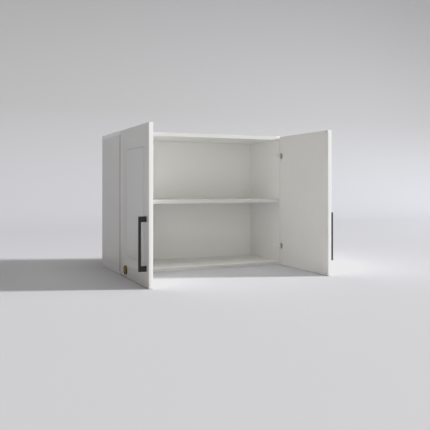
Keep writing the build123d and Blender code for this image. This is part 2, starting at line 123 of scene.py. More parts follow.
def add_noise(material, size_mm, detail, place):
    """A cloudy pattern whose patches have a real size."""
    return add_node(material, "ShaderNodeTexNoise", {"Scale": cells_per_metre(size_mm), "Detail": detail},
                    {"Vector": place})


print("a warm white card is", [round(v, 3) for v in linear("#E9E7E2")])

# %% [markdown]
# ## Sweep and lights
# A studio stands small furniture on a paper sweep, a wide sheet that lies on the floor and curves up behind
# it, so that no line shows where the floor ends. The main lamp is like a low sun on the right: far off, so
# its light is even across the floor, and it throws one long shadow to the left. Two large, weak soft boxes and
# the air of the studio fill the shaded faces, and a third box lights the paper behind.

# %% Make the paper sweep
floor_reach, sweep_back, wall_height, cove = 40.0, 7.0, 7.0, 4.5
paper_drop = 0.2 * mm  # air between the paper and the cabinet's underside
bpy.ops.object.select_all(action="DESELECT")
bpy.ops.mesh.primitive_plane_add(size=2 * floor_reach, location=(0, sweep_back - floor_reach, -paper_drop))
sweep = bpy.context.object
sweep.name = "paper_sweep"
bpy.ops.object.transform_apply(location=True, rotation=True, scale=True)
print("the sweep reaches", floor_reach, "m to each side")

# %% [markdown]
# ## Selecting by place
# A bevel or an extrusion works on selected edges or faces. Counting them by number breaks as soon as a size
# changes, so they are picked by where they lie and which way they point, which stays true.

# %% Helpers that select by place
def only(piece):
    """Makes one piece the active one and the only one selected."""
    bpy.ops.object.select_all(action="DESELECT")
    piece.select_set(True)
    bpy.context.view_layer.objects.active = piece


def pick_faces(piece, test):
    """Opens the piece for editing with the faces selected whose middle and normal pass a test."""
    only(piece)
    bpy.ops.object.mode_set(mode="EDIT")
    bpy.ops.mesh.select_mode(type="FACE")
    bpy.ops.mesh.select_all(action="DESELECT")
    bpy.ops.object.mode_set(mode="OBJECT")
    for face in piece.data.polygons:
        face.select = bool(test(face.center, face.normal))
    bpy.ops.object.mode_set(mode="EDIT")


def pick_edges(piece, test):
    """Opens the piece for editing with the edges selected whose middle and direction pass a test."""
    only(piece)
    bpy.ops.object.mode_set(mode="EDIT")
    bpy.ops.mesh.select_mode(type="EDGE")
    bpy.ops.mesh.select_all(action="DESELECT")
    bpy.ops.object.mode_set(mode="OBJECT")
    for edge in piece.data.edges:
        start, end = (piece.data.vertices[i].co for i in edge.vertices)
        edge.select = bool(test((start + end) / 2, (end - start).normalized()))
    bpy.ops.object.mode_set(mode="EDIT")


def close_edit():
    bpy.ops.object.mode_set(mode="OBJECT")


def use_modifier(piece, kind, **settings):
    """Adds a modifier with its settings and applies it to the mesh."""
    only(piece)
    bpy.ops.object.modifier_add(type=kind)
    modifier = piece.modifiers[-1]
    for key, value in settings.items():
        setattr(modifier, key, value)
    bpy.ops.object.modifier_apply(modifier=modifier.name)


def smooth(piece, degrees=32):
    """Shades a piece smooth where its faces meet at less than an angle."""
    only(piece)
    bpy.ops.object.shade_smooth_by_angle(angle=math.radians(degrees))


print("before it is curved, the sweep has", len(sweep.data.polygons), "face")

# %% [markdown]
# ## The sweep's curve and its paper
# The paper's back edge is pulled up to a wall and the corner is bevelled with many segments, which is how real
# paper hangs. Its tone changes slowly with height, because light falls off up the wall.

# %% Curve the sweep up behind the cabinet
pick_edges(sweep, lambda middle, along: middle.y > sweep_back - mm)
bpy.ops.mesh.extrude_edges_move(TRANSFORM_OT_translate={"value": (0, 0, wall_height)})
close_edit()
pick_edges(sweep, lambda middle, along: middle.y > sweep_back - mm and middle.z < mm and abs(along.x) > 0.9)
bpy.ops.mesh.bevel(offset=cove, segments=32, profile=0.5)
close_edit()
smooth(sweep, 60)
print("the sweep has", len(sweep.data.polygons), "faces")

# %% Give the sweep its paper
paper, paper_shader, place = start_finish("sweep_paper_matt_coated", Roughness=0.9)
height = add_node(paper, "ShaderNodeSeparateXYZ", {}, {"Vector": place}).outputs["Z"]
grade_low, grade_high, fade_high, fade_share = 0.1, 1.5, 4.0, 0.86  # in metres, and a share
graded = add_node(paper, "ShaderNodeMapRange", {"From Min": grade_low, "From Max": grade_high},
                  {"Value": height})
paper_colour = blend(paper, "#CCCDD2", "#B7B7B8", graded.outputs["Result"])
fade = add_node(paper, "ShaderNodeMapRange", {"From Min": grade_high, "From Max": fade_high, "To Min": 1.0,
                                             "To Max": fade_share}, {"Value": height})
faded = add_node(paper, "ShaderNodeVectorMath", {"operation": "SCALE"},
                 {0: paper_colour.outputs[2], "Scale": fade.outputs["Result"]})
paper.node_tree.links.new(faded.outputs[0], paper_shader.inputs["Base Color"])
sweep.data.materials.append(paper)
print("the paper's tone changes from", grade_low, "to", fade_high, "m above the floor")

# %% [markdown]
# ## Lamps and air
# Each lamp is placed by its direction and distance from the cabinet, and one function turns that into a place
# and a turn. The air is a dim gradient that lights every face a little.

# %% Set the lamps
aim = Vector((0, -0.2, 0.2))


def add_lamp(name, kind, azimuth, elevation, distance, energy, colour, **settings):
    """A lamp that faces the cabinet. Azimuth 0 is behind the cabinet and 90 is on its right."""
    a, e = math.radians(azimuth), math.radians(elevation)
    towards = Vector((math.sin(a) * math.cos(e), math.cos(a) * math.cos(e), math.sin(e)))
    bpy.ops.object.select_all(action="DESELECT")
    bpy.ops.object.light_add(type=kind, location=aim + towards * distance)
    lamp = bpy.context.object
    lamp.name = name
    lamp.rotation_mode = "QUATERNION"
    lamp.rotation_quaternion = towards.to_track_quat("Z", "Y")
    lamp.data.energy = energy
    lamp.data.color = linear(colour)[:3]
    for key, value in settings.items():
        setattr(lamp.data, key, value)
    lamp.visible_camera = False
    return lamp


add_lamp("key_low_sun", "SUN", 109.5, 24, 6.0, 4.15, "#FFFFFF", angle=math.radians(6))
add_lamp("fill_soft_box", "AREA", 190, 10, 5.0, 37.5, "#FFFBF5", size=3.5)
add_lamp("overhead_soft_box", "AREA", 180, 80, 5.0, 90, "#FFFCF7", size=3.5)
sweep_lamp = add_lamp("sweep_soft_box", "AREA", 90, 0, 1.0, 184, "#F6F8FF", size=3.0)
sweep_lamp.location = (6.5, -0.5, 1.8)
sweep_aim = Vector((3.5, 6.0, 0.3))
sweep_lamp.rotation_quaternion = (sweep_lamp.location - sweep_aim).to_track_quat("Z", "Y")

# %% Set the studio's air
world = bpy.data.worlds.new("studio_air")
bpy.context.scene.world = world
world.use_nodes = True
sky = add_node(world, "ShaderNodeTexCoord").outputs["Generated"]
sky_height = add_node(world, "ShaderNodeSeparateXYZ", {}, {"Vector": sky}).outputs["Z"]
sky_share = add_node(world, "ShaderNodeMapRange", {"From Min": 0.1, "From Max": 0.4}, {"Value": sky_height})
sky_colour = blend(world, "#716C66", "#54514E", sky_share.outputs["Result"])
world.node_tree.links.new(sky_colour.outputs[2], world.node_tree.nodes["Background"].inputs["Color"])
print("air:", world.name)

# %% [markdown]
# ## A soft shoulder for the brightest parts
# White lacquer that faces the key lamp is brighter than a picture can show. Film bends its curve there, so
# that a moulding can still be seen in the brightest white. The view's curve does the same: it is straight up
# to the knee and rises gently above it.

# %% Bend the view's curve above the knee
knee, brightest = 0.82, 2.0
view = bpy.context.scene.view_settings
view.use_curve_mapping = True
mapping = view.curve_mapping
mapping.white_level = (brightest,) * 3
mapping.curves[3].points.new(knee / brightest, knee)
for point in mapping.curves[3].points:
    point.handle_type = "VECTOR"
mapping.update()
print("the picture's curve bends at", knee, "and ends at", brightest)

# %% [markdown]
# ## Melamine boards
# The sides, the top, the bottom and the shelf are chipboard pressed between two sheets of resin-soaked white
# paper, called melamine. The press plate leaves a fine pearl texture that breaks up reflections. At the back,
# where nobody looks, the boards' edges are bare and the chips show. The boards' CAD shapes are right as
# they are, so they keep them and only get this finish.

# %% Press the melamine finish
white_boards = ("side_panel_left", "side_panel_right", "top_panel", "bottom_panel", "shelf", "hanging_rail")
pearl_size_mm = 4.0  # the real pearls are about 0.6 mm, too fine to show
chip_size_mm = 4.0

melamine, shader, place = start_finish("melamine_pressed_pearl_white", Roughness=0.42)
cloud = add_noise(melamine, 90, 3, place)
white = blend(melamine, "#F2F2EF", "#F6F6F4", cloud.outputs["Fac"])
pearl = add_noise(melamine, pearl_size_mm, 4, place)
pearl_bump = add_node(melamine, "ShaderNodeBump", {"Strength": 0.35, "Distance": 0.05 * mm},
                      {"Height": pearl.outputs["Fac"]})

# %% Show the bare chips on the boards' back edges
rear_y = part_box("side_panel_right")[1].y
chips = add_node(melamine, "ShaderNodeTexVoronoi", {"Scale": cells_per_metre(chip_size_mm)},
                 {"Vector": place})
chip_tone = add_node(melamine, "ShaderNodeSeparateColor", {}, {"Color": chips.outputs["Color"]})
chip_colour = blend(melamine, "#8E6B45", "#C9A878", chip_tone.outputs["Red"])
depth = add_node(melamine, "ShaderNodeSeparateXYZ", {}, {"Vector": place})
at_back = add_node(melamine, "ShaderNodeMath", {"operation": "GREATER_THAN", 1: rear_y - hair / 2},
                   {0: depth.outputs["Y"]})
board_colour = add_node(melamine, "ShaderNodeMix", {"data_type": "RGBA"},
                        {0: at_back.outputs[0], 6: white.outputs[2], 7: chip_colour.outputs[2]})
board_roughness = add_node(melamine, "ShaderNodeMapRange", {"To Min": 0.38, "To Max": 0.9},
                           {"Value": at_back.outputs[0]})
links = melamine.node_tree.links
links.new(board_colour.outputs[2], shader.inputs["Base Color"])
links.new(board_roughness.outputs["Result"], shader.inputs["Roughness"])
links.new(pearl_bump.outputs["Normal"], shader.inputs["Normal"])


def finish(material, *names):
    """Puts one material on CAD nodes or pieces."""
    for name in names:
        slots = bpy.data.objects[name].data.materials
        slots.clear()
        slots.append(material)


finish(melamine, *white_boards)
print("boards with the melamine finish:", len(white_boards))

# %% [markdown]
# ## Hardboard back
# The back panel is 3 mm hardboard that slides in a groove. Its front is rolled with white lacquer, and its
# rear is left as it came off the wire screen: brown, with a woven print. Which side a point lies on decides
# the colour, by its depth in the cabinet.

# %% Lacquer one side of the hardboard
back_low, back_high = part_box("back_panel")
screen_pitch_mm = 3.0
hardboard, shader, place = start_finish("hardboard_roller_lacquered", Roughness=0.5)
roller = add_noise(hardboard, 5, 5, place)
depth = add_node(hardboard, "ShaderNodeSeparateXYZ", {}, {"Vector": place})
back_middle = (back_low.y + back_high.y) / 2
rear_side = add_node(hardboard, "ShaderNodeMath", {"operation": "GREATER_THAN", 1: back_middle},
                     {0: depth.outputs["Y"]})
rib_scale = cells_per_metre(screen_pitch_mm) / 3  # a wave texture draws about three ribs in one unit of scale
ribs = [add_node(hardboard, "ShaderNodeTexWave",
                 {"bands_direction": way, "Scale": rib_scale, "Distortion": 0.4},
                 {"Vector": place}).outputs["Fac"] for way in ("X", "Z")]
screen = add_node(hardboard, "ShaderNodeMath", {"operation": "MULTIPLY"}, {0: ribs[0], 1: ribs[1]})
brown = blend(hardboard, "#7C5A3C", "#94704C", roller.outputs["Fac"])
relief = add_node(hardboard, "ShaderNodeMix", {}, {0: rear_side.outputs[0], 2: roller.outputs["Fac"],
                                                   3: screen.outputs[0]})
relief_bump = add_node(hardboard, "ShaderNodeBump", {"Strength": 0.3, "Distance": 0.12 * mm},
                       {"Height": relief.outputs[0]})
sides = add_node(hardboard, "ShaderNodeMix", {"data_type": "RGBA", 6: linear("#F3F3F0")},
                 {0: rear_side.outputs[0], 7: brown.outputs[2]})
hardboard.node_tree.links.new(sides.outputs[2], shader.inputs["Base Color"])
hardboard.node_tree.links.new(relief_bump.outputs["Normal"], shader.inputs["Normal"])
finish(hardboard, "back_panel")
print("the back panel is", round((back_high.y - back_low.y) / mm, 1), "mm thick")

# %% [markdown]
# ## Helpers for making pieces
# A block or a bar is added at its own size and place, and its place is applied to the mesh, so that every
# finished piece's object stays at the origin as a CAD node's does. Edges that should be rounded by different
# amounts get a weight each, and one bevel modifier rounds them all: it makes clean corners where they meet.

# %% Add blocks and bars, round edges, join and mirror
def keep_place(name):
    """Applies the new object's place to its mesh and names both."""
    bpy.ops.object.transform_apply(location=True, rotation=True, scale=True)
    piece = bpy.context.object
    piece.name = piece.data.name = name
    return piece


def add_block(name, low, high):
    """A box between two corners."""
    low, high = Vector(low), Vector(high)
    bpy.ops.object.select_all(action="DESELECT")
    bpy.ops.mesh.primitive_cube_add(size=1, location=(low + high) / 2, scale=high - low)
    return keep_place(name)


def add_bar(name, start, end, radius, sides=48):
    """A round bar between two points."""
    start, end = Vector(start), Vector(end)
    turn = (end - start).to_track_quat("Z", "Y").to_euler()
    bpy.ops.object.select_all(action="DESELECT")
    bpy.ops.mesh.primitive_cylinder_add(vertices=sides, radius=radius, depth=(end - start).length,
                                        location=(start + end) / 2, rotation=turn)
    return keep_place(name)


def weigh_edges(piece, weight, test):
    """Gives the edges that pass a test at least this bevel weight."""
    pick_edges(piece, test)
    bpy.ops.transform.edge_bevelweight(value=weight)
    close_edit()


def round_weighted(piece, radius, segments=3):
    """Rounds every weighted edge, by the radius times its weight."""
    use_modifier(piece, "BEVEL", width=radius, segments=segments, limit_method="WEIGHT")
    smooth(piece)


def round_edges(piece, radius, segments, test):
    """Rounds the edges that pass a test."""
    pick_edges(piece, test)
    bpy.ops.mesh.bevel(offset=radius, segments=segments, affect="EDGES")
    close_edit()
    smooth(piece)


def join(name, pieces):
    """Makes one piece of several shells."""
    bpy.ops.object.select_all(action="DESELECT")
    for piece in pieces:
        piece.select_set(True)
    bpy.context.view_layer.objects.active = pieces[0]
    bpy.ops.object.join()
    pieces[0].name = pieces[0].data.name = name
    return pieces[0]


def copy_piece(piece, name, shift=(0, 0, 0)):
    """A copy with its own mesh, moved by a shift."""
    copy = piece.copy()
    copy.data = piece.data.copy()
    bpy.context.scene.collection.objects.link(copy)
    copy.name = copy.data.name = name
    only(copy)
    copy.location = Vector(shift)
    bpy.ops.object.transform_apply(location=True)
    return copy


def mirror_piece(piece, name):
    """The left-hand copy of a right-hand piece, with its normals turned outwards again."""
    copy = copy_piece(piece, name)
    copy.scale.x = -1
    bpy.ops.object.transform_apply(scale=True)
    bpy.ops.object.mode_set(mode="EDIT")
    bpy.ops.mesh.select_all(action="SELECT")
    bpy.ops.mesh.normals_make_consistent(inside=False)
    close_edit()
    return copy


def cut(piece, cutters):
    """Cuts the cutters' shapes out of a piece and throws the cutters away."""
    for cutter in cutters:
        use_modifier(piece, "BOOLEAN", operation="DIFFERENCE", solver="EXACT", object=cutter)
        bpy.data.objects.remove(cutter)


def place_piece(piece, body, node, material):
    """The piece rides on a body, stands for a CAD node, and takes a material as its finish."""
    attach(piece, body)
    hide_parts(node)
    finish(material, piece.name)
    print(piece.name, "has", len(piece.data.polygons), "faces")


print("CAD nodes to finish or to replace:", len(nodes))

# %% [markdown]
# ## Edge strips
# A melamine board's edges are closed with ABS strips, 1 mm thick, glued on hot and scraped to a small
# radius. That radius draws the thin bright line along the front edges. Each strip is a block whose outer
# arrises are bevelled; the scraper leaves faint lines along the strip, so the noise is stretched that way.
# The level strips' ends are painted a lighter white, a painted sheen in place of a buffed shine. The
# upright strips' outer arris is painted dull grey, painted shade for the dark gap beside the open door.

# %% Make the strips' finish
end_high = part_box("top_edge_bands")[1]
strip_low, strip_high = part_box("side_edge_band_right")
strip_thickness = strip_high.y - strip_low.y


def strip_finish(name, stretch, painted_arris_width, painted_arris_colour):
    """Extruded ABS with faint lines along one direction, and painted light or shade along the outer arris."""
    abs_strip, shader, place = start_finish(name, Roughness=0.3, Coat_Weight=0.9, Coat_Roughness=0.12)
    line_space = add_node(abs_strip, "ShaderNodeMapping", {"Scale": stretch}, {"Vector": place})
    lines = add_noise(abs_strip, 3, 2, line_space.outputs[0])
    tone = blend(abs_strip, "#DADAD7", "#E0E0DE", lines.outputs["Fac"])
    across = add_node(abs_strip, "ShaderNodeSeparateXYZ", {}, {"Vector": place})
    from_middle = add_node(abs_strip, "ShaderNodeMath", {"operation": "ABSOLUTE"}, {0: across.outputs["X"]})
    # on the cabinet's ends this mask paints the arris: a painted sheen on level strips, painted shade on upright
    # ones
    arris_mask = add_node(abs_strip, "ShaderNodeMath", {"operation": "GREATER_THAN", 1: end_high.x - painted_arris_width},
                      {0: from_middle.outputs[0]})
    colour = add_node(abs_strip, "ShaderNodeMix", {"data_type": "RGBA", 7: linear(painted_arris_colour)},
                      {0: arris_mask.outputs[0], 6: tone.outputs[2]})
    line_bump = add_node(abs_strip, "ShaderNodeBump", {"Strength": 0.3, "Distance": 0.04 * mm},
                         {"Height": lines.outputs["Fac"]})
    abs_strip.node_tree.links.new(colour.outputs[2], shader.inputs["Base Color"])
    abs_strip.node_tree.links.new(line_bump.outputs["Normal"], shader.inputs["Normal"])
    return abs_strip


# the level strips' ends: #FAFAF8 is a painted sheen, lighter than the strip's own tone
level_strip_sheen_ends = strip_finish("abs_strip_level_painted_sheen_ends", (0.02, 1, 1), strip_thickness, "#FAFAF8")
# the upright strips' outer arris: #A6A4A0 is painted shade for the dark gap beside the open door
gap_shade_width = 2.2 * mm
upright_strip_gap_shaded = strip_finish("abs_strip_upright_painted_gap_shade", (1, 1, 0.02), gap_shade_width, "#A6A4A0")

# %% Glue on the upright strips
strip_radius = 0.8 * mm
side_strip = add_block("side_strip_right", strip_low, strip_high)
round_edges(side_strip, strip_radius, 4,
            lambda middle, along: abs(along.z) > 0.9 and middle.y < strip_low.y + hair)
place_piece(mirror_piece(side_strip, "side_strip_left"), "cabinet", "side_edge_band_left",
            upright_strip_gap_shaded)
place_piece(side_strip, "cabinet", "side_edge_band_right", upright_strip_gap_shaded)

# %% Glue on the level strips of the top, the bottom and the shelf
strip_joint = 0.1 * mm
for level in ("top", "bottom"):
    low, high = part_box(f"{level}_edge_bands")
    front_strip = add_block("front_strip", low, (high.x, low.y + strip_thickness, high.z))
    round_edges(front_strip, strip_radius, 4, lambda middle, along: middle.y < low.y + hair)
    end_start = (high.x - strip_thickness, low.y + strip_thickness + strip_joint, low.z)
    end_strip = add_block("end_strip", end_start, high)
    round_edges(end_strip, strip_radius, 4,
                lambda middle, along: middle.x > high.x - hair and abs(along.y) > 0.9)
    strips = join(f"{level}_strips", [front_strip, end_strip, mirror_piece(end_strip, "end_strip_left")])
    place_piece(strips, "cabinet", f"{level}_edge_bands", level_strip_sheen_ends)

low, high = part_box("shelf_edge_band")
shelf_strip = add_block("shelf_strip", low, high)
round_edges(shelf_strip, strip_radius, 4,
            lambda middle, along: middle.y < low.y + hair and abs(along.x) > 0.9)
place_piece(shelf_strip, "cabinet", "shelf_edge_band", level_strip_sheen_ends)

# %% [markdown]
# ## Door lacquer
# The doors are routed from 16 mm medium-density fibreboard and sprayed white. Sprayed lacquer dries with a
# faint orange peel, and it is a little glossier on the flats than in the moulding, where it soaks in.

# %% Spray the lacquer
lacquer, shader, place = start_finish("mdf_lacquer_sprayed_satin", Roughness=0.36, Coat_Weight=0.12,
                                      Coat_Roughness=0.25)
peel = add_noise(lacquer, 6, 3, place)
sway = add_noise(lacquer, 70, 2, place)
lacquer_tone = blend(lacquer, "#F1F1EE", "#F5F5F3", sway.outputs["Fac"])
gloss = add_node(lacquer, "ShaderNodeMapRange", {"To Min": 0.3, "To Max": 0.42},
                 {"Value": sway.outputs["Fac"]})
peel_bump = add_node(lacquer, "ShaderNodeBump", {"Strength": 0.3, "Distance": 0.05 * mm},
                     {"Height": peel.outputs["Fac"]})
lacquer.node_tree.links.new(lacquer_tone.outputs[2], shader.inputs["Base Color"])
lacquer.node_tree.links.new(gloss.outputs["Result"], shader.inputs["Roughness"])
lacquer.node_tree.links.new(peel_bump.outputs["Normal"], shader.inputs["Normal"])

# %% [markdown]
# ## Doors
# A router cuts the frame into the door's front: a long slope and a groove round a flat field. In the mesh that
# is the front face, inset again and again, each time a step further in and to its own depth. The groove is
# deeper than the frame model's ledge, so that its line shows from across a room. The edge of the front is
# rounded by 2 mm and the back's by less, so those edges carry different weights for one bevel.

# %% Rout one door
door_low, door_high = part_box("door_panel_right")
front_rounding, back_rounding = 2.0 * mm, 0.8 * mm
# the moulding: how far in from the door's outline, and how deep, in millimetres
moulding = ((51.0, 0.0), (51.6, 0.25), (52.4, 0.85), (53.2, 1.15), (54.2, 1.5), (72.0, 7.2), (73.6, 7.6),
            (76.0, 7.9), (77.6, 8.6), (79.4, 8.9), (84.4, 8.9), (85.6, 8.5), (86.6, 7.3), (87.6, 5.5),
            (88.4, 4.8), (89.6, 4.6))

door = add_block("moulded_door_right", door_low, door_high)
weigh_edges(door, back_rounding / front_rounding, lambda middle, along: True)
weigh_edges(door, 1.0, lambda middle, along: middle.x > door_high.x - hair)
pick_faces(door, lambda middle, normal: normal.x > 0.9)
reach, sunk = 0.0, 0.0
for inset, drop in moulding:
    bpy.ops.mesh.inset(thickness=(inset - reach) * mm, depth=-(drop - sunk) * mm)
    reach, sunk = inset, drop
close_edit()
round_weighted(door, front_rounding, 4)
print("the groove is", max(drop for inset, drop in moulding), "mm deep and the field", sunk, "mm")

# %% [markdown]
# ## Bores in the doors
# A door is bored for two hinge cups and for the handle's two screws, which go in under flush caps. The bars
# that cut the bores take their places from the cups, the pins and the caps, so each piece meets its hole.

# %% Bore the door for its hinge cups and its handle's screws
cup_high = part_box("hinge_cup_lower_right")[1]
cup_radius, cup_flange_radius = 13.0 * mm, 13.5 * mm
cup_y = cup_high.y - cup_flange_radius
cap_low, cap_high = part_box("handle_screw_caps_right")
cap_radius = 5.0 * mm
hinge_levels = {"lower": sum((v.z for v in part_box("hinge_pin_lower_right"))) / 2,
                "upper": sum((v.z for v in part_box("hinge_pin_upper_right"))) / 2}
cap_levels = (cap_low.z + cap_radius, cap_high.z - cap_radius)
cap_y = (cap_low.y + cap_high.y) / 2
bores = [add_bar("bore", (door_low.x - mm, cup_y, z), (cup_high.x, cup_y, z), cup_radius, 64)
         for z in hinge_levels.values()]
bores += [add_bar("bore", (door_low.x - mm, cap_y, z), (cap_high.x, cap_y, z), cap_radius) for z in cap_levels]
cut(door, bores)
smooth(door)
place_piece(mirror_piece(door, "moulded_door_left"), "left_door", "door_panel_left", lacquer)
place_piece(door, "right_door", "door_panel_right", lacquer)

# %% [markdown]
# ## Handles
# The bow handle is a square steel bar with two feet, bent from one piece, blasted and powder-coated matt
# black. The powder melts into a fine grain that scatters light. The bar is a block, bisected where the feet
# start; the feet are then extruded from it to the door.

# %% Coat the handles' finish
powder, shader, place = start_finish("steel_powder_coated_black", Roughness=0.55, Specular_IOR_Level=0.4)
grain = add_noise(powder, 1.2, 3, place)
handled = add_noise(powder, 25, 2, place)
soot = blend(powder, "#262726", "#30312F", handled.outputs["Fac"])
matt = add_node(powder, "ShaderNodeMapRange", {"To Min": 0.48, "To Max": 0.62},
                {"Value": handled.outputs["Fac"]})
grain_bump = add_node(powder, "ShaderNodeBump", {"Strength": 0.4, "Distance": 0.12 * mm},
                      {"Height": grain.outputs["Fac"]})
powder.node_tree.links.new(soot.outputs[2], shader.inputs["Base Color"])
powder.node_tree.links.new(matt.outputs["Result"], shader.inputs["Roughness"])
powder.node_tree.links.new(grain_bump.outputs["Normal"], shader.inputs["Normal"])

# %% Bend the handle
handle_low, handle_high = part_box("handle_right")
bar_thickness, foot_length = 8.0 * mm, 20.5 * mm
bar_x = handle_high.x - bar_thickness
foot_ends = (handle_low.z + foot_length, handle_high.z - foot_length)
handle = add_block("bow_handle_right", (bar_x, handle_low.y, handle_low.z), handle_high)
for z in foot_ends:
    only(handle)
    bpy.ops.object.mode_set(mode="EDIT")
    bpy.ops.mesh.select_all(action="SELECT")
    bpy.ops.mesh.bisect(plane_co=(0, 0, z), plane_no=(0, 0, 1))
    close_edit()
pick_faces(handle, lambda middle, normal: normal.x < -0.9 and not foot_ends[0] < middle.z < foot_ends[1])
bpy.ops.mesh.extrude_region_move(TRANSFORM_OT_translate={"value": (handle_low.x - bar_x, 0, 0)})
close_edit()
print("the handle is", round((handle_high.z - handle_low.z) / mm, 1), "mm long")

# %% Ease the handle's edges
outer_bend, inner_bend, eased = 1.5 * mm, 2.5 * mm, 0.6 * mm


def on_door(middle):
    return middle.x < handle_low.x + hair


def on_flank(middle):
    return any(abs(abs(middle.y) - abs(corner.y)) < mm for corner in (handle_low, handle_high))


weigh_edges(handle, eased / inner_bend, lambda middle, along: on_flank(middle) and not on_door(middle))
weigh_edges(handle, (outer_bend - eased) / inner_bend,
            lambda middle, along: abs(along.y) > 0.9 and middle.x > handle_high.x - hair
            and not foot_ends[0] - mm < middle.z < foot_ends[1] + mm)
weigh_edges(handle, 1.0, lambda middle, along: abs(along.y) > 0.9 and abs(middle.x - bar_x) < hair)
round_weighted(handle, inner_bend, 4)
place_piece(mirror_piece(handle, "bow_handle_left"), "left_door", "handle_left", powder)
place_piece(handle, "right_door", "handle_right", powder)

# %% [markdown]
# ## White plastic: caps and covers
# The screw caps and the hinge covers are moulded from white ABS. The mould is spark-eroded, which leaves a
# very fine, even grain and a soft sheen. A cap is a short bar whose rim is rounded and whose face is pressed
# in a little, so a thin ring of shadow shows it in the board.

# %% Mould the white plastic's finish
white_abs, shader, place = start_finish("abs_moulded_spark_eroded_white", Roughness=0.34)
spark = add_noise(white_abs, 0.8, 2, place)
flow = add_noise(white_abs, 12, 1, place)
abs_tone = blend(white_abs, "#F6F6F4", "#FAFAF9", flow.outputs["Fac"])
spark_bump = add_node(white_abs, "ShaderNodeBump", {"Strength": 0.25, "Distance": 0.04 * mm},
                      {"Height": spark.outputs["Fac"]})
white_abs.node_tree.links.new(abs_tone.outputs[2], shader.inputs["Base Color"])
white_abs.node_tree.links.new(spark_bump.outputs["Normal"], shader.inputs["Normal"])


# %% Press the screw caps into the boards and the doors
def add_cap(name, inside, outside, radius):
    """A flush cap whose outer face, at the second point, is pressed in a little."""
    cap = add_bar(name, inside, outside, radius, 40)
    outward = (Vector(outside) - Vector(inside)).normalized()
    face_place = Vector(outside).dot(outward)
    rim_rounding, rim_width, dish_slope, dish_depth = 0.35 * mm, 1.2 * mm, 0.25 * mm, 0.18 * mm
    round_edges(cap, rim_rounding, 2, lambda middle, along: middle.dot(outward) > face_place - hair / 2)
    pick_faces(cap, lambda middle, normal: normal.dot(outward) > 0.999)
    bpy.ops.mesh.inset(thickness=rim_width, depth=0)
    bpy.ops.mesh.inset(thickness=dish_slope, depth=-dish_depth)
    close_edit()
    return cap


low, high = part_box("corner_screw_caps")
thickness, radius = 1.5 * mm, 5.0 * mm
upper_caps = [add_cap("cap", (high.x - radius, y, high.z - thickness), (high.x - radius, y, high.z), radius)
              for y in (low.y + radius, high.y - radius)]
lower_caps = [add_cap("cap", (high.x - radius, y, low.z + thickness), (high.x - radius, y, low.z), radius)
              for y in (low.y + radius, high.y - radius)]
right_caps = join("board_caps", upper_caps + lower_caps)
board_caps = join("board_caps", [right_caps, mirror_piece(right_caps, "board_caps_left")])
place_piece(board_caps, "cabinet", "corner_screw_caps", white_abs)

door_caps = join("door_caps_right", [add_cap("cap", (cap_high.x, cap_y, z), (cap_low.x, cap_y, z), cap_radius)
                                     for z in cap_levels])
place_piece(mirror_piece(door_caps, "door_caps_left"), "left_door", "handle_screw_caps_left",
            white_abs)
place_piece(door_caps, "right_door", "handle_screw_caps_right", white_abs)

# %% [markdown]
# ## Hinge covers
# A cover snaps over each hinge arm. It is a thin-walled box, open towards the board and slotted at the front
# for the arm. The outer block is bevelled and its face pressed in a little first, and then its inside and its
# slot are cut out.

# %% Mould one hinge cover and copy it
cover_low, cover_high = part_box("hinge_arm_cover_lower_right")
arm_low, arm_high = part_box("hinge_arm_lower_right")
plate_low, plate_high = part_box("hinge_plate_lower_right")
wall, slot_play, cover_rounding = 1.2 * mm, 0.4 * mm, 1.0 * mm
rim_width, dish_slope, dish_depth = 2.6 * mm, 0.5 * mm, 0.25 * mm
cover = add_block("arm_cover", cover_low, cover_high)
weigh_edges(cover, 1.0, lambda middle, along: middle.x < cover_low.x + hair)
weigh_edges(cover, 0.5, lambda middle, along: abs(along.x) > 0.9)
pick_faces(cover, lambda middle, normal: normal.x < -0.9)
bpy.ops.mesh.inset(thickness=rim_width, depth=0)
bpy.ops.mesh.inset(thickness=dish_slope, depth=-dish_depth)
close_edit()
round_weighted(cover, cover_rounding, 3)
hollow = add_block("hollow", (cover_low.x + wall, cover_low.y + wall, plate_low.z),
                   (cover_high.x + mm, cover_high.y - wall, plate_high.z))
arm_slot = add_block("slot", (arm_low.x - slot_play, cover_low.y - mm, arm_low.z - slot_play),
                     (cover_high.x + mm, cover_low.y + 2 * wall, arm_high.z + slot_play))
cut(cover, [hollow, arm_slot])
smooth(cover)
lift = Vector((0, 0, hinge_levels["upper"] - hinge_levels["lower"]))
for level, shift in (("lower", Vector()), ("upper", lift)):
    right_cover = copy_piece(cover, f"arm_cover_{level}_right", shift)
    left_cover = mirror_piece(right_cover, f"arm_cover_{level}_left")
    for side, piece in (("right", right_cover), ("left", left_cover)):
        place_piece(piece, "cabinet", f"hinge_arm_cover_{level}_{side}", white_abs)
bpy.data.objects.remove(cover)

# %% [markdown]
# ## Hinge steel, zinc-plated steel and beech
# Hinge arms, plates and cups are pressed from steel strip and nickel-plated: pale, slightly warm and satin,
# with fine rolling lines. The corner and handle screws and the eye plates are zinc-plated, which is bluer and
# cloudier. The dowels are turned beech, with pores along the grain.

# %% Plate the hinges and the screws
nickel, shader, place = start_finish("steel_pressed_nickel_plated", Metallic=1.0, Roughness=0.52)
strip_space = add_node(nickel, "ShaderNodeMapping", {"Scale": (1, 0.06, 1)}, {"Vector": place})
rolled = add_noise(nickel, 0.6, 3, strip_space.outputs[0])
nickel_tone = blend(nickel, "#EAE8E2", "#F6F4F0", rolled.outputs["Fac"])
nickel_gloss = add_node(nickel, "ShaderNodeMapRange", {"To Min": 0.46, "To Max": 0.6},
                        {"Value": rolled.outputs["Fac"]})
nickel.node_tree.links.new(nickel_tone.outputs[2], shader.inputs["Base Color"])
nickel.node_tree.links.new(nickel_gloss.outputs["Result"], shader.inputs["Roughness"])

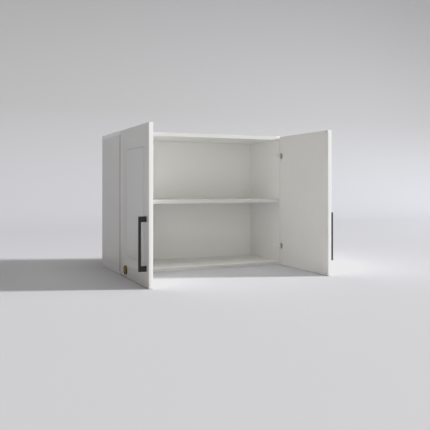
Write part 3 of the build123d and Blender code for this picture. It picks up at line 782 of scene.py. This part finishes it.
zinc, shader, place = start_finish("steel_zinc_plated_passivated", Metallic=1.0, Roughness=0.36)
cloudy = add_noise(zinc, 3, 4, place)
zinc_tone = blend(zinc, "#B4B8BE", "#CDD0D3", cloudy.outputs["Fac"])
zinc_gloss = add_node(zinc, "ShaderNodeMapRange", {"To Min": 0.28, "To Max": 0.46},
                      {"Value": cloudy.outputs["Fac"]})
zinc.node_tree.links.new(zinc_tone.outputs[2], shader.inputs["Base Color"])
zinc.node_tree.links.new(zinc_gloss.outputs["Result"], shader.inputs["Roughness"])

hinge_nodes = [n for n in nodes if n.startswith(("hinge_arm_", "hinge_cup_", "hinge_pin_", "hinge_plate_"))
               and not n.startswith("hinge_arm_cover")]
finish(nickel, *hinge_nodes)
finish(zinc, "corner_screws", "handle_screws_left", "handle_screws_right", "eye_plate_left", "eye_plate_right")
print("nickel-plated nodes:", len(hinge_nodes))

# %% Turn the dowels' beech
beech, shader, place = start_finish("beech_turned", Roughness=0.6)
grain_space = add_node(beech, "ShaderNodeMapping", {"Scale": (1, 1, 0.08)}, {"Vector": place})
fibre = add_noise(beech, 1.5, 4, grain_space.outputs[0])
beech_tone = blend(beech, "#B98A5E", "#D9B48A", fibre.outputs["Fac"])
fibre_bump = add_node(beech, "ShaderNodeBump", {"Strength": 0.3, "Distance": 0.1 * mm},
                      {"Height": fibre.outputs["Fac"]})
beech.node_tree.links.new(beech_tone.outputs[2], shader.inputs["Base Color"])
beech.node_tree.links.new(fibre_bump.outputs["Normal"], shader.inputs["Normal"])
finish(beech, "corner_dowels", "rail_dowels")

# %% [markdown]
# ## Screws with a cross recess
# The screws that show have a domed head with a cross recess. The head is a short bar with a broad bevel, and
# two blocks are cut out of it. One screw is made for the cups and one for the eye plates, and the
# rest are copies.

# %% Make one screw and copy it
def add_screw(name, top, inward, head_radius, head_height, shank_radius, length):
    """A screw whose head's middle is at a point and whose shank runs inward."""
    top, inward = Vector(top), Vector(inward)
    side = Vector((0, 0, 1))
    across = inward.cross(side)
    under = top + inward * head_height
    head = add_bar("head", under, top, head_radius, 40)
    round_edges(head, head_height * 0.7, 4, lambda middle, along: (middle - top).dot(inward) < hair / 2)
    blades = []
    for long_way, short_way in ((side, across), (across, side)):
        reach = long_way * head_radius * 0.55 + short_way * head_radius * 0.12
        corners = (top - reach - inward * mm, top + reach + inward * head_height * 0.6)
        blade_low = [min(a, b) for a, b in zip(*corners)]
        blade_high = [max(a, b) for a, b in zip(*corners)]
        blades.append(add_block("blade", blade_low, blade_high))
    cut(head, blades)
    shank = add_bar("shank", under, under + inward * length, shank_radius, 24)
    tip_place = (under + inward * length).dot(inward)
    round_edges(shank, shank_radius * 0.8, 1, lambda middle, along: middle.dot(inward) > tip_place - hair / 2)
    screw = join(name, [head, shank])
    smooth(screw)
    return screw


low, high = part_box("hinge_cup_screws_right")
head_height, screw_offset = 1.2 * mm, 17 * mm
cup_head_radius, cup_shank_radius = 3.2 * mm, 1.6 * mm
cup_screw = add_screw("cup_screw", (low.x, cup_y, hinge_levels["lower"] - screw_offset), (1, 0, 0),
                      cup_head_radius, head_height, cup_shank_radius, high.x - low.x - head_height)
others = [copy_piece(cup_screw, "cup_screw_copy", shift) for shift in
          (Vector((0, 0, 2 * screw_offset)), lift, lift + Vector((0, 0, 2 * screw_offset)))]
cup_screws = join("cup_screws_right", [cup_screw] + others)
place_piece(mirror_piece(cup_screws, "cup_screws_left"), "left_door", "hinge_cup_screws_left",
            nickel)
place_piece(cup_screws, "right_door", "hinge_cup_screws_right", nickel)

low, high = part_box("eye_plate_screws")
eye_head_radius, eye_shank_radius, eye_screw_spacing = 3.8 * mm, 2.0 * mm, 44 * mm
plate_middle = sum((v.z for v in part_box("eye_plate_right"))) / 2
eye_screw = add_screw("eye_screw", (high.x - eye_head_radius, high.y, plate_middle), (0, -1, 0),
                      eye_head_radius, head_height, eye_shank_radius, high.y - low.y - head_height)
inner_screw = copy_piece(eye_screw, "eye_screw_copy", (-eye_screw_spacing, 0, 0))
right_pair = join("eye_screws", [eye_screw, inner_screw])
eye_screws = join("eye_screws", [right_pair, mirror_piece(right_pair, "eye_screws_left")])
place_piece(eye_screws, "cabinet", "eye_plate_screws", zinc)

# %% [markdown]
# ## Shelf supports and bumpers
# Each shelf support is a peg in the side with a flat tab under the shelf, whose free corners are rounded. The
# bumpers are drops of clear polyurethane on the doors' inner faces; a broad bevel gives them their dome.

# %% Make the shelf supports
low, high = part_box("shelf_supports")
side_face = strip_low.x
peg_radius, tab_length, tab_width, tab_thickness = 2.5 * mm, 10 * mm, 12 * mm, 2 * mm
corner_radius, tab_rounding, peg_rounding = 4 * mm, 0.3 * mm, 0.5 * mm
supports = []
for y in (low.y + tab_width / 2, high.y - tab_width / 2):
    tab = add_block("tab", (side_face - tab_length, y - tab_width / 2, high.z - tab_thickness),
                    (side_face, y + tab_width / 2, high.z))
    round_edges(tab, corner_radius, 6, lambda middle, along: abs(along.z) > 0.9 and middle.x < side_face - mm)
    round_edges(tab, tab_rounding, 2, lambda middle, along: abs(along.z) < 0.1 and middle.x < side_face - hair)
    peg = add_bar("peg", (side_face - tab_length / 2, y, high.z - peg_radius),
                  (high.x, y, high.z - peg_radius), peg_radius, 32)
    round_edges(peg, peg_rounding, 2, lambda middle, along: abs(along.x) < 0.1)
    supports += [tab, peg]
right_supports = join("supports", supports)
shelf_supports = join("shelf_tabs", [right_supports, mirror_piece(right_supports, "supports_left")])
place_piece(shelf_supports, "cabinet", "shelf_supports", nickel)

# %% Cast the bumpers
clear, shader, place = start_finish("polyurethane_cast_clear", Transmission_Weight=0.85, Roughness=0.12,
                                    IOR=1.5)
haze = add_node(clear, "ShaderNodeTexNoise", {"Scale": cells_per_metre(1.5)}, {"Vector": place})
haze_tone = blend(clear, "#F0F2F1", "#FAFBFA", haze.outputs["Fac"])
clear.node_tree.links.new(haze_tone.outputs[2], shader.inputs["Base Color"])
low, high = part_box("door_bumpers_right")
bumper_radius, dome_height = 4 * mm, 1.9 * mm
bumper_y = (low.y + high.y) / 2
drops = []
for z in (low.z + bumper_radius, high.z - bumper_radius):
    drop = add_bar("drop", (high.x, bumper_y, z), (low.x, bumper_y, z), bumper_radius, 36)
    round_edges(drop, dome_height, 7, lambda middle, along: middle.x < low.x + hair)
    drops.append(drop)
bumpers = join("bumpers_right", drops)
place_piece(mirror_piece(bumpers, "bumpers_left"), "left_door", "door_bumpers_left", clear)
place_piece(bumpers, "right_door", "door_bumpers_right", clear)

# %% [markdown]
# ## Badge
# A plain round badge sits low on the left door: a turned brass rim round a disc of dark enamel, with one
# raised brass ring and no mark of any kind. The rim and the ring are small profiles spun about the badge's
# middle, as on a lathe. The lathe leaves fine rings in the brass, so the pattern is made of rings too. The
# brass is antiqued: dark all over, then polished on its faces only, so the walls below them stay dark.

# %% Turn the brass and pour the enamel
rim_low, rim_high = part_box("badge_rim")
badge_middle = (rim_low + rim_high) / 2
polished_depth = 0.8 * mm
brass, shader, place = start_finish("brass_turned_antiqued", Metallic=1.0, Roughness=0.26)
lathe_space = add_node(brass, "ShaderNodeMapping", {"Location": -badge_middle}, {"Vector": place})
turned = add_node(brass, "ShaderNodeTexWave", {"wave_type": "RINGS", "rings_direction": "X",
                                               "Scale": cells_per_metre(0.5) / 3, "Distortion": 0.3},
                  {"Vector": lathe_space.outputs[0]})
brass_tone = blend(brass, "#D9A246", "#EEC26E", turned.outputs["Fac"])
depth = add_node(brass, "ShaderNodeSeparateXYZ", {}, {"Vector": place})
at_wall = add_node(brass, "ShaderNodeMath", {"operation": "GREATER_THAN", 1: rim_low.x + polished_depth},
                   {0: depth.outputs["X"]})
brass_colour = add_node(brass, "ShaderNodeMix", {"data_type": "RGBA", 7: linear("#3A2C1C")},
                        {0: at_wall.outputs[0], 6: brass_tone.outputs[2]})
brass_gloss = add_node(brass, "ShaderNodeMapRange", {"To Min": 0.22, "To Max": 0.36},
                       {"Value": turned.outputs["Fac"]})
brass.node_tree.links.new(brass_colour.outputs[2], shader.inputs["Base Color"])
brass.node_tree.links.new(brass_gloss.outputs["Result"], shader.inputs["Roughness"])

enamel, shader, place = start_finish("enamel_poured_dark_brown", Roughness=0.35, Coat_Weight=0.15,
                                     Coat_Roughness=0.2)
speck = add_noise(enamel, 2, 4, place)
enamel_tone = blend(enamel, "#241B14", "#35281C", speck.outputs["Fac"])
enamel.node_tree.links.new(enamel_tone.outputs[2], shader.inputs["Base Color"])


# %% Spin the rim and the ring, and shape the disc
def add_ring(name, front_x, back_x, inner, outer, rounding):
    """A profile between two radii, rounded at its corners and spun about the badge's middle."""
    bpy.ops.object.select_all(action="DESELECT")
    bpy.ops.mesh.primitive_plane_add(
        size=1, rotation=(math.radians(90), 0, 0),
        location=((front_x + back_x) / 2, badge_middle.y, badge_middle.z + (inner + outer) / 2))
    bpy.context.object.scale = (back_x - front_x, outer - inner, 1)
    ring = keep_place(name)
    bpy.ops.object.mode_set(mode="EDIT")
    bpy.ops.mesh.select_all(action="SELECT")
    bpy.ops.mesh.bevel(offset=rounding, segments=3, affect="VERTICES")
    bpy.ops.mesh.select_all(action="SELECT")
    bpy.ops.mesh.delete(type="ONLY_FACE")
    bpy.ops.mesh.select_all(action="SELECT")
    bpy.ops.mesh.spin(steps=64, angle=math.radians(360), center=badge_middle, axis=(1, 0, 0))
    bpy.ops.mesh.select_all(action="SELECT")
    bpy.ops.mesh.remove_doubles(threshold=0.01 * mm)
    bpy.ops.mesh.normals_make_consistent(inside=False)
    close_edit()
    smooth(ring, 50)
    return ring


badge_radius = (rim_high.z - rim_low.z) / 2
rim_width, rim_rounding = 3.0 * mm, 0.6 * mm
core_radius = badge_radius - rim_width
rim = add_ring("badge_brass_rim", rim_low.x, rim_high.x, core_radius, badge_radius, rim_rounding)
place_piece(rim, "left_door", "badge_rim", brass)

disc_low, disc_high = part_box("badge_disc")
disc = add_bar("badge_enamel_disc", (disc_high.x, badge_middle.y, badge_middle.z),
               (disc_low.x, badge_middle.y, badge_middle.z), core_radius, 64)
pick_faces(disc, lambda middle, normal: normal.x < -0.9)
# the enamel's shallow dish: how far in and how far up each step goes, in millimetres
dish_steps = ((0.5, -0.25), (2.0, -0.12), (3.0, 0.08), (4.0, 0.12), (4.0, 0.1))
for inset, rise in dish_steps:
    bpy.ops.mesh.inset(thickness=inset * mm, depth=rise * mm)
close_edit()
smooth(disc, 40)
place_piece(disc, "left_door", "badge_disc", enamel)

ring_inner, ring_outer, ring_rounding = 5.0 * mm, 9.0 * mm, 0.3 * mm
ring_front = rim_low.x + 0.2 * mm  # a little behind the rim's front
ring_back = disc_low.x + 0.4 * mm  # sunk into the enamel
ring = add_ring("badge_brass_ring", ring_front, ring_back, ring_inner, ring_outer, ring_rounding)
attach(ring, "left_door")
finish(brass, ring.name)
print("the badge is", round(2 * badge_radius / mm, 1), "mm across")
